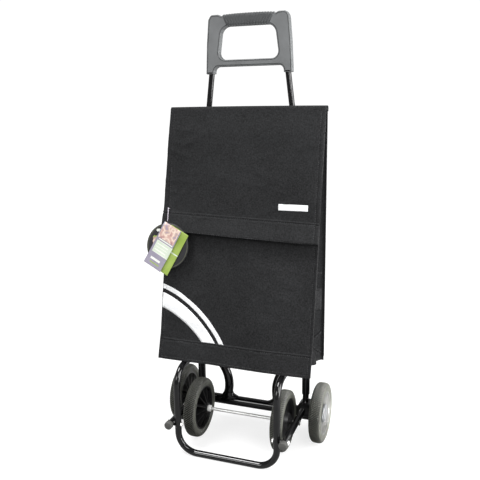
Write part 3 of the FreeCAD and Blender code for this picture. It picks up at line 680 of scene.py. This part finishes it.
def moulded_ring(outer, hole, profile):
    """A flat moulding about y = 0: outlines in x and z, edges shaped by (inset, depth) pairs."""
    parts = [([Vector((p.x, depth, p.y)) for distance, depth in profile
               for p in inset(outline, distance)], net_faces(len(profile), len(outline)))
             for outline in (outer, hole)]
    vertices, faces = join_parts(parts)
    split = len(parts[0][0])
    for first, second in ((0, split), (split - len(outer), len(vertices) - len(hole))):
        rings = range(first, first + len(outer)), range(second, second + len(hole))
        lines = [[Vector((vertices[i].x, vertices[i].z, 0)) for i in ring] for ring in rings]
        index = [i for ring in rings for i in ring]
        faces += [tuple(index[i] for i in triangle) for triangle in tessellate_polygon(lines)]
    return vertices, faces


def make_handle():
    """A grey ring with a groove along its edges, notched below between its two feet; the groove's
    floor is painted in the darker grip colour as painted shade.
    """
    low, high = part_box("handle_frame")
    foot, top, half = low.z / MM, high.z / MM, high.x / MM
    depth = (high.y - low.y) / 2 / MM
    notch_z, notch_x, seam_z = foot + 16.5, half - 21, top - 3.5
    right = [(notch_x, foot, 1.5), (half, foot, 2.0), (half - 3, foot + 68, 80),
             (half - 8, top - 11, 8), (half - 15, top, 9), (75, top, 3), (67, seam_z, 3)]
    outer = rounded_outline(right + [(-u, v, r) for u, v, r in reversed(right)]
                            + [(-notch_x, notch_z, 12), (notch_x, notch_z, 12)])
    bar_z, grip_z = foot + 32.5, foot + 108.5
    hole = rounded_outline([(-76, bar_z, 16), (-66, grip_z, 22), (66, grip_z, 22),
                            (76, bar_z, 16)])
    groove_floor = depth - 1.3
    edge = [(4.2, depth), (3.9, groove_floor), (2.7, groove_floor), (2.4, depth - 0.1),
            (1.2, depth - 0.4), (0.35, depth - 1.2), (0, depth - 2.6), (0, 0.45), (0.45, 0.15)]
    profile = edge + [(d, -y) for d, y in reversed(edge)]
    centre = Vector((0, (low.y + high.y) / 2, 0))
    ring = make_piece("handle_frame_moulded", moved(moulded_ring(outer, hole, profile), centre),
                      [HANDLE, GRIP_AND_GROOVE_SHADE], "chassis", "grey_plastic", "handle_frame", sharp=40)
    # The faces on the groove's floor take the darker grip colour: painted shade in the groove.
    slot_faces(ring, lambda spot, normal: abs(normal.y) > 0.9
               and abs(spot.y - centre.y) / MM < groove_floor + 0.1)
    make_grip(centre, grip_z, top, depth)


def make_grip(centre, low_z, top_z, depth):
    """A soft sleeve round the top bar, with slanted seams at its ends and diagonal ribs; a pale
    band along each seam is a painted highlight.
    """
    half_height, mid = (top_z - low_z) / 2, (top_z + low_z) / 2
    rib_pitch, rib_height, rib_slant = 6.8, 1.3, -0.6
    half_length, lean = 61, 6

    def place(u, v):
        y, z = (copysign(abs(part) ** 0.45, part) for part in
                (cos(2 * pi * v), sin(2 * pi * v)))
        span = 2 * u - 1
        x = span * (half_length + lean * z)
        arch = 1.0 - 2.2 * abs(span) ** 3
        end = smoothstep(0.98, 0.94, abs(span))
        rib = cos(2 * pi * (x + rib_slant * z * half_height) / rib_pitch)
        lift = rib_height * smoothstep(-0.3, 0.8, rib) * end
        thick = depth + 0.5 + lift - 1.4 * (1 - end)
        height = half_height - 0.8 + lift * 0.8 - 1.0 * (1 - end)
        lower = -0.4 if z < 0 else arch * max(0.0, z)
        return Vector((x, thick * y, mid + height * z + lower)) * MM + centre

    item = grid_object("handle_grip_ribbed", 260, 57, place, [GRIP_AND_GROOVE_SHADE, SEAM_HIGHLIGHT], sharp=60)
    # The last 1.3 mm at each end take a pale grey: a painted highlight along the seams.
    slot_faces(item, lambda spot, _: abs(spot.x) / MM > half_length - 1.3
               + lean * (spot.z / MM - mid) / half_height)
    face_outward(item.data, weld=True)
    piece(item, "chassis", "grip_plastic", "handle_grip")


make_handle()


# Bag

FRONT_LOW, FRONT_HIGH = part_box("bag_front")
FLOOR_Z, MOUTH_Z = FRONT_LOW.z, FRONT_HIGH.z
LOW_Y, BACK_Y = FRONT_LOW.y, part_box("bag_back")[1].y
TALL = MOUTH_Z - FLOOR_Z
SLOPE = (FRONT_HIGH.y - 2 * MM - LOW_Y) / TALL
LEAN = atan(SLOPE)
HALF = FRONT_HIGH.x - MM
HEM = 50 * MM
FLANGE = 6 * MM
GUSSET = 90 * MM


def front_plane(z):
    return LOW_Y + (z - FLOOR_Z) * SLOPE


def wrinkle(x, z, seed, size, amplitude):
    """Smooth unevenness of cloth: long folds that run a little more down than across."""
    spot = Vector((x / size, z / (size * 1.8), seed))
    return amplitude * (noise.noise(spot) + 0.45 * noise.noise(spot * 2.3))


def crease(x, z, seed, degrees, pitch, amplitude):
    """Long shallow ridges in one direction, that come and go."""
    turn, patch = radians(degrees), 0.12
    along, over = x * cos(turn) + z * sin(turn), z * cos(turn) - x * sin(turn)
    ridge = noise.noise(Vector((along / (pitch * 5), over / pitch, seed)))
    presence = noise.noise(Vector((x / patch, z / patch, seed + 20))) + 0.25
    return amplitude * smoothstep(0.0, 0.5, presence) * (1 - abs(ridge) * 2.4) ** 3


def bell(distance, width):
    """1 in the middle of a narrow line, fading to 0 on both sides."""
    return exp(-((distance / width) ** 2))


def hem_step(distance, width, thickness, groove):
    """Doubled cloth below a hem's stitched edge; distance is measured up from the open edge."""
    step = thickness * smoothstep(width + MM, width - MM, distance)
    return step - groove * bell(distance - width + 4.5 * MM, 1.9 * MM)


def front_offset(x, z):
    """How far the front stands forward of its plane."""
    across = 1 - (abs(x) / HALF) ** 2.6
    height = (z - FLOOR_Z) / TALL
    belly = 8.0 * MM * across * sin(pi * min(1, height * 1.75 + 0.12)) ** 2
    fold = wrinkle(x, z, 3.7, 0.15, 3.6 * MM) * (0.35 + 0.65 * across)
    fold += crease(x, z, 2.2, 24, 0.05, 1.7 * MM) + crease(x, z, 6.1, -15, 0.06, 1.4 * MM)
    flare = 4.5 * MM * smoothstep(FLOOR_Z + HEM, FLOOR_Z, z)
    seam = 1.4 * MM * bell(abs(x) - HALF + FLANGE + MM, 2.2 * MM)
    return belly + fold + hem_step(z - FLOOR_Z, HEM, 2.2 * MM, 1.6 * MM) + flare - seam


def edge_y(z):
    return front_plane(z) - front_offset(HALF, z)


def gusset_point(t, z, front, back):
    """A point of the right gusset, from the front flange (t = 0) to the back flange (t = 1).
    Near the floor the bag's folded corner pushes a small pleat out of the fold."""
    depth = back - front
    tuck = sqrt(max(GUSSET ** 2 - (depth / 2) ** 2, 0))
    fold = 1 - sqrt((2 * t - 1) ** 2 + 0.0035)
    soft = wrinkle(t * 0.16, z, 9.1, 0.06, 6 * MM) * sin(pi * t)
    height = smoothstep(FLOOR_Z + 64 * MM, FLOOR_Z, z)
    ridge = max(0.0, 1 - abs(t - 0.72) / (0.03 + 0.22 * height))
    pleat = min(1.0, 1.25 * ridge) * smoothstep(0, 0.12, height)
    x = HALF - FLANGE - tuck * fold * (1 - 0.86 * pleat * (0.35 + 0.65 * height)) + soft
    return Vector((min(x, HALF - MM), front + depth * t, z))


def bag_section(z, columns, along):
    """The bag's outline at a height: front, gusset, back, gusset."""
    xs = [HALF * (2 * u - 1) for u in columns]
    front = [Vector((x, front_plane(z) - front_offset(x, z), z)) for x in xs]
    flange_thick, corner = 2.6 * MM, 0.4 * MM
    near, far = front[-1].y + flange_thick, BACK_Y - flange_thick
    start, finish = near + corner, far - corner
    right = [Vector((HALF, near, z)), Vector((HALF - FLANGE, start, z)),
             *(gusset_point(k / along, z, start, finish) for k in range(1, along)),
             Vector((HALF - FLANGE, finish, z)), Vector((HALF, far, z))]
    back = [Vector((-x, BACK_Y - 0.6 * MM * (1 - (x / HALF) ** 2)
                    + wrinkle(x, z, 5.5, 0.2, MM), z)) for x in xs]
    return front + right + back + [Vector((-p.x, p.y, z)) for p in reversed(right)]


def droop(spot):
    """The bag's lower corners hang a little below its floor towards the back."""
    depth = smoothstep(LOW_Y, BACK_Y, spot.y) * smoothstep(140 * MM, 178 * MM, abs(spot.x))
    near_floor = smoothstep(FLOOR_Z + 110 * MM, FLOOR_Z, spot.z)
    return Vector((spot.x, spot.y, spot.z - 10 * MM * depth * near_floor))


def make_bag():
    seam, hem = (FLANGE + MM) / (2 * HALF), HEM / TALL
    columns = spaced(70, (seam, 0.012), (1 - seam, 0.012))
    sections = [bag_section(FLOOR_Z + TALL * v, columns, 28)
                for v in spaced(110, (hem - 0.004, 0.012), (0.012, 0.012))]
    count = len(sections[0])
    faces = net_faces(len(sections), count) + [tuple(reversed(range(count)))]
    shell = mesh_object("bag_shell", [droop(v) for section in sections for v in section], faces,
                        [BAG], sharp=50)
    return piece(shell, "chassis", "bag_cloth", "bag_front", "bag_back", "bag_gusset_left",
                 "bag_gusset_right", "bag_floor", thick=(1.6 * MM, -1.0))


BAG_SHELL = make_bag()


def make_bindings():
    """Folded tape over the four upright seams of the bag."""
    heights = [FLOOR_Z + MM + (TALL - 3 * MM) * k / 90 for k in range(91)]
    tape = [Vector((1.3 * cos(a), 2.3 * sin(a), 0)) * MM for a in turns(12)]
    parts = []
    for sign in (-1, 1):
        for seam_y in (lambda z: edge_y(z) + 1.6 * MM, lambda z: BACK_Y - 1.6 * MM):
            parts.append(([Vector((sign * HALF, seam_y(z), z)) + corner
                           for z in heights for corner in tape],
                          net_faces(len(heights), len(tape), capped=True)))
    make_piece("bag_bindings", join_parts(parts), [WEBBING], "chassis", "tape", sharp=70)


make_bindings()


def make_gusset_band(side, sign, name, low, high, width, lift):
    """A tape over the back half of a gusset, from a low height to a high one."""
    def place(u, v):
        z = (low + (high - low) * u + width * (v - 0.5)) * MM
        here, ahead = (gusset_point(0.54 + 0.45 * u + step, z, edge_y(z) + 3 * MM, BACK_Y - 3 * MM)
                       for step in (0, 0.004))
        spot = here + (ahead - here).cross(Vector((0, 0, 1))).normalized() * (lift * MM)
        return Vector((sign * spot.x, spot.y, spot.z))

    band = grid_object(f"gusset_band_{name}_{side}", 30, 12, place, [WEBBING], sharp=70)
    piece(band, "chassis", "tape", thick=(1.2 * MM, 0.0))


def make_gusset_bands():
    """A wide webbing band and seam tapes on each gusset, two of them crossed at its foot."""
    for side, sign in SIDES:
        for band in (("wide", 375, 375, 54, 1.3), ("narrow", 441, 441, 5, 1.0),
                     ("falling", 296, 238, 4, 1.2), ("rising", 238, 290, 4, 1.5)):
            make_gusset_band(side, sign, *band)


make_gusset_bands()


def surface_finder(item):
    """A function that gives the point and normal of a piece's front at (x, z), or None."""
    tree = BVHTree.FromObject(item, bpy.context.evaluated_depsgraph_get())

    def find(x, z):
        place, normal, _, _ = tree.ray_cast(Vector((x, -0.6, z)), Vector((0, 1, 0)))
        return (place, normal) if place else None

    return find


ON_BAG = surface_finder(BAG_SHELL)


def stitch_row(find, start, end):
    """Small thread dashes laid on a surface from one (x, z) to another."""
    pitch, length, thread = 4.6 * MM, 3.2 * MM, 0.5 * MM
    run = Vector(end) - Vector(start)
    count = max(2, int(run.length / pitch))
    dashes = []
    for k in range(count):
        spot = Vector(start) + run * ((k + 0.5) / count)
        found = find(spot.x, spot.y)
        if not found:
            continue
        place, normal = found
        ahead = Vector((run.x, 0, run.y)).normalized()
        ahead = (ahead - normal * ahead.dot(normal)).normalized()
        side = normal.cross(ahead)
        dash = [place + ahead * (along * length) + thread * size
                * (side * cos(angle) + normal * (sin(angle) * 0.7 + 0.2))
                for along, size in ((-0.5, 0.15), (-0.3, 1.0), (0.3, 1.0), (0.5, 0.15))
                for angle in turns(6)]
        dashes.append((dash, net_faces(4, 6, capped=True)))
    return join_parts(dashes)


def make_bag_stitches():
    inner = HALF - FLANGE - MM
    ends = [((sign * inner, FLOOR_Z + 4 * MM), (sign * inner, MOUTH_Z - 8 * MM))
            for sign in (-1, 1)]
    ends += [((-inner, z), (inner, z)) for z in (FLOOR_Z + HEM - 4.5 * MM, FLOOR_Z + 6 * MM)]
    make_piece("bag_stitches", join_parts([stitch_row(ON_BAG, *row) for row in ends]), [THREAD],
               "chassis", "bag_cloth")


make_bag_stitches()


def make_stripe(node, *arcs):
    """A band between two arcs (centre, radius), from the front's left edge down to its hem."""
    edge, hem = -HALF / MM + 0.6, HEM / MM + 1.2

    def arc_point(centre, radius, t):
        first = acos(max(-1, min(1, (edge - centre[0]) / radius)))
        last = asin(max(-1, min(1, (hem - centre[1]) / radius)))
        angle = first + (last - first) * t
        return Vector(centre) + Vector((cos(angle), sin(angle))) * radius

    def place(u, v):
        outside, inside = (arc_point(*arc, u) for arc in arcs)
        spot = outside.lerp(inside, v) * MM
        found, normal = ON_BAG(max(spot.x, -HALF + 0.6 * MM), FLOOR_Z + spot.y * cos(LEAN))
        return found + normal * (0.35 * MM)

    piece(grid_object(f"{node}_printed", 72, 8, place, [BAND]), "chassis", "band", node,
          thick=(0.3 * MM, 1.0))


make_stripe("stripe_narrow", ((-264, -79), 273.5), ((-264, -79), 262.5))
make_stripe("stripe_wide", ((-262, -79), 252), ((-251, -81), 215))


# Flap

FLAP_LOW, FLAP_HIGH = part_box("flap")
FLAP_HALF = FLAP_HIGH.x
FLAP_HEM = 46 * MM
FLAP_SEAM = 11 * MM
FLAP_FLAT = (2 * FLAP_HALF, 0.346)


def flap_line(x):
    """The flap's line in the side view at x, from the seam behind to the lower edge."""
    top, rear, stand, steps = FLAP_HIGH.z, FLAP_HIGH.y, 4.6 * MM, 7
    sway = x / FLAP_HALF
    low, crown = FLAP_LOW.z - MM - 6 * MM * sway, top - 0.8 * MM * sway * sway
    seam_y, ridge, fold_z = BACK_Y + 1.3 * MM, front_plane(top) - stand, crown - 7 * MM
    line = [(seam_y, MOUTH_Z - 8 * MM), (seam_y, MOUTH_Z), (rear, top - 1.6 * MM),
            (rear - 3 * MM, crown), (rear - 11 * MM, crown + 0.6 * MM),
            (ridge + 5 * MM, crown + 0.2 * MM), (ridge + 1.2 * MM, crown - 1.8 * MM),
            (ridge - 0.4 * MM, fold_z)]
    heights = [fold_z + (low - fold_z) * k / steps for k in range(1, steps + 1)]
    return line + [(front_plane(z) - stand, z) for z in heights]


@functools.cache
def flap_profile(x):
    """The flap's side view at x as points, with the length of cloth up to each."""
    line, lengths = smooth_line(flap_line(x), 12), [0.0]
    for (y1, z1), (y2, z2) in zip(line, line[1:]):
        lengths.append(lengths[-1] + hypot(y2 - y1, z2 - z1))
    return line, lengths


def flap_point(u, v):
    """The cloth's outside: creased and crowned over the bag, hemmed and flared at its edge."""
    x = FLAP_HALF * (2 * u - 1)
    line, lengths = flap_profile(x)
    goal = lengths[-1] * v
    index = bisect.bisect_left(lengths, goal - 1e-12, 1)
    share = (goal - lengths[index - 1]) / (lengths[index] - lengths[index - 1])
    y, z = (a + (b - a) * share for a, b in zip(line[index - 1], line[index]))
    left = lengths[-1] - goal
    on_apron = smoothstep(0.047, 0.10, goal)
    crown = 1 - (2 * u - 1) ** 2
    billow = wrinkle(x, z, 7.9, 0.13, 3.2 * MM) + 3.0 * MM * crown
    billow += crease(x, z, 4.4, 32, 0.045, 2.2 * MM) + crease(x, z, 8.3, -8, 0.05, 1.6 * MM)
    billow -= 1.2 * MM * bell(abs(x) - FLAP_HALF + FLAP_SEAM, 2.0 * MM)
    hem = hem_step(left, FLAP_HEM, 1.8 * MM, 1.8 * MM)
    flare = (8.0 + 5.0 * crown) * MM * smoothstep(FLAP_HEM + 4 * MM, -0.006, left)
    spread = 1 + 0.028 * smoothstep(0.02, lengths[-1], goal) * (1 if x < 0 else 0.1)
    forward = max(-1.2 * MM, billow * on_apron) + hem * on_apron + flare
    return Vector((x * spread, y - forward, z))


def make_flap():
    seam, hem = FLAP_SEAM / (2 * FLAP_HALF), 1 - FLAP_HEM / FLAP_FLAT[1]
    item = grid_object("flap_cloth", spaced(84, (seam, 0.013), (1 - seam, 0.013)),
                       spaced(110, (hem + 0.006, 0.02), (0.05, 0.04)), flap_point, [BAG, ROOF],
                       sharp=60)
    slot_faces(item, lambda spot, _: spot.z > FLAP_HIGH.z - 3.5 * MM)
    outward = item.data.polygons[len(item.data.polygons) // 2].normal.y < 0
    thicken(item, 1.7 * MM, -1.0 if outward else 1.0)
    return item


FLAP = make_flap()
ON_FLAP = surface_finder(FLAP)


def make_flap_details():
    """Stitch lines along the hem and the sides, and a plain woven label."""
    inner = FLAP_HALF - FLAP_SEAM
    hem_line = (FLAP_HEM - 4.5 * MM) * cos(LEAN)
    rows = []
    for up in (hem_line, hem_line - FLAP_HEM + 5 * MM):
        left_z, right_z = (FLAP_LOW.z - 7 * MM * x / FLAP_HALF + up for x in (-inner, inner))
        rows.append(stitch_row(ON_FLAP, (-inner, left_z), (inner, right_z)))
    for x in (-inner, inner):
        rows.append(stitch_row(ON_FLAP, (x, FLAP_LOW.z + 4 * MM), (x, FLAP_HIGH.z - 12 * MM)))
    make_piece("flap_stitches", join_parts(rows), [THREAD], "flap", "bag_cloth")

    low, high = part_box("woven_label")

    def place(u, v):
        found, normal = ON_FLAP(low.x + (high.x - low.x) * u, low.z + (high.z - low.z) * v)
        edge = min(min(u, 1 - u) * 70, min(v, 1 - v) * 14)
        return found + normal * MM * (0.35 + 0.35 * smoothstep(0, 1.6, edge))

    piece(grid_object("woven_label_sewn", 60, 16, place, [BAND]), "flap", "band", "woven_label",
          thick=(0.5 * MM, 1.0))


make_flap_details()
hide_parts("flap")
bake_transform(FLAP)


# Straps


def strap_loop(name, x, line):
    """A closed belt of webbing across x, following a closed line in the side view."""
    width, columns = 30, 7
    vertices = [Vector((x + width * (k / (columns - 1) - 0.5), y, z)) * MM
                for y, z in line for k in range(columns)]
    faces = net_faces(len(line), columns, closed=False, looped=True)
    piece(mesh_object(name, vertices, faces, [WEBBING]), "chassis", "tape", thick=(1.6 * MM, 1.0))


def make_straps():
    """Loops on the bag's back that hold it on the two flat bars."""
    back, gap = BACK_Y / MM + 1.0, 1.6
    for bar, spots in (("hanger_bar", (-62, 0, 62)), ("middle_bar", (-95, 95))):
        low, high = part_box(bar)
        low_z, high_z, far = low.z / MM - gap, high.z / MM + gap, high.y / MM + 1.4
        line = rounded_outline([(back, low_z - 8, 2), (far, low_z, 2.5), (far, high_z, 2.5),
                                (back, high_z + 8, 2)], 5)
        for x in spots:
            strap_loop(f"{bar}_strap_{x + 100}", x, line)


make_straps()


# Retail tags

UP = Vector((0, sin(LEAN), cos(LEAN)))
OUT = Vector((0, -cos(LEAN), sin(LEAN)))
DARK, RING, VIOLET, FRUIT, GREEN, LEAF, PALE = (printed(*ink) for ink in (
    ("tag_disc_ink", [(0.010, 0.0095, 0.012), (0.014, 0.013, 0.016)], 60.0, 0.5, 0.0),
    ("tag_rim_ink", [(0.05, 0.055, 0.035), (0.07, 0.075, 0.045)], 60.0, 0.5, 0.0),
    ("tag_violet_ink", [(0.28, 0.26, 0.33), (0.33, 0.305, 0.38)], 40.0),
    ("tag_fruit_ink", [(0.42, 0.24, 0.25), (0.62, 0.40, 0.34), (0.84, 0.70, 0.60),
                       (0.62, 0.44, 0.36), (0.38, 0.30, 0.38)], 75.0),
    ("tag_green_ink", [(0.60, 0.68, 0.55), (0.68, 0.75, 0.64)], 50.0),
    ("tag_leaf_ink", [(0.27, 0.38, 0.06), (0.34, 0.45, 0.10)], 45.0),
    ("tag_pale_ink", [(0.78, 0.80, 0.72), (0.85, 0.87, 0.80)], 50.0)))


def over_flap_edge(z):
    """How far a tag stands out where it hangs over the flap's flared lower edge."""
    return 10 * MM * smoothstep(590 * MM, 548 * MM, z)


def make_card(name, node, slot, region, lift, curl):
    """A card that hangs turned, slightly curled, printed by regions."""
    turn, width, length = radians(-27), 52 * MM, 114 * MM
    across = Vector((cos(turn), 0, 0)) + UP * sin(turn)
    along = Vector((-sin(turn), 0, 0)) + UP * cos(turn)
    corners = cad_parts[node].data.vertices
    centre = sum((v.co for v in corners), Vector()) / len(corners)
    columns, rows = 40, 84

    def place(u, v):
        bend = curl * MM * ((2 * v - 1) ** 2 + 0.4 * (2 * u - 1) ** 2)
        spot = centre + across * (u - 0.5) * width + along * (v - 0.5) * length
        return spot + OUT * (bend + lift * MM + over_flap_edge(spot.z))

    card = grid_object(name, columns, rows, place, [VIOLET, FRUIT, GREEN, LEAF, PALE])
    card.data.polygons.foreach_set("material_index", [
        region((i + 0.5) / (columns - 1), (j + 0.5) / (rows - 1))
        for j in range(rows - 1) for i in range(columns - 1)])
    piece(card, "tags", slot, node, thick=(0.5 * MM, 0.0))


def front_card_region(u, v):
    """A pictured top, a pale green panel below it with bars, and a violet foot with two bars."""
    for slot, left, right, low, high in ((1, 0.06, 0.94, 0.64, 1.0), (4, 0.15, 0.94, 0.60, 0.625),
                                         (4, 0.2, 0.75, 0.14, 0.19), (3, 0.25, 0.8, 0.07, 0.095)):
        if left < u < right and low < v < high:
            return slot
    if 0.30 < v < 0.58 and u > 0.10:
        return 4 if (v - 0.30) * 30 % 2 < 0.5 and 0.18 < u < 0.82 else 2
    return 0


def back_card_region(u, v):
    return 2 if 0.47 < v < 0.50 and u > 0.5 else 3


def disc_region(x, up):
    """A paler ring near the edge, and a plain bar over a small two-coloured patch."""
    if 0.92 < hypot(x, up) < 0.95:
        return 1
    if -0.56 < x < -0.2 and 0.58 < up < 0.70:
        return 4
    if -0.70 < x < -0.2 and 0.0 < up < 0.40:
        return 3 if up > 0.34 else 2
    return 0


def make_disc():
    """The round tag: a dark printed disc that bends back a little at its sides."""
    low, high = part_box("tag_disc")
    centre, radius = (low + high) / 2, (high.x - low.x) / 2
    rings, segments = 28, 96
    vertices = []
    for share in (0.02 + 0.98 * r / rings for r in range(rings + 1)):
        for angle in turns(segments):
            x, up = share * cos(angle), share * sin(angle)
            spot = centre + (Vector((x, 0, 0)) + UP * up) * radius
            vertices.append(spot + OUT * (1.2 * MM * x ** 2 + over_flap_edge(spot.z)))
    disc = mesh_object("tag_disc_printed", vertices, net_faces(rings + 1, segments)
                       + [tuple(range(segments))], [DARK, RING, FRUIT, LEAF, PALE])
    disc.data.polygons.foreach_set("material_index", [
        disc_region(r / rings * cos(turn), r / rings * sin(turn))
        for r in range(rings) for turn in turns(segments, 0.5)] + [0])
    piece(disc, "tags", "tag_disc_paper", "tag_disc", thick=(0.7 * MM, 0.0))


make_disc()
make_card("tag_card_back_printed", "tag_card_back", "tag_leaf_paper", back_card_region, 0.6, 1.0)
make_card("tag_card_front_printed", "tag_card_front", "tag_paper", front_card_region, 1.4, 1.8)
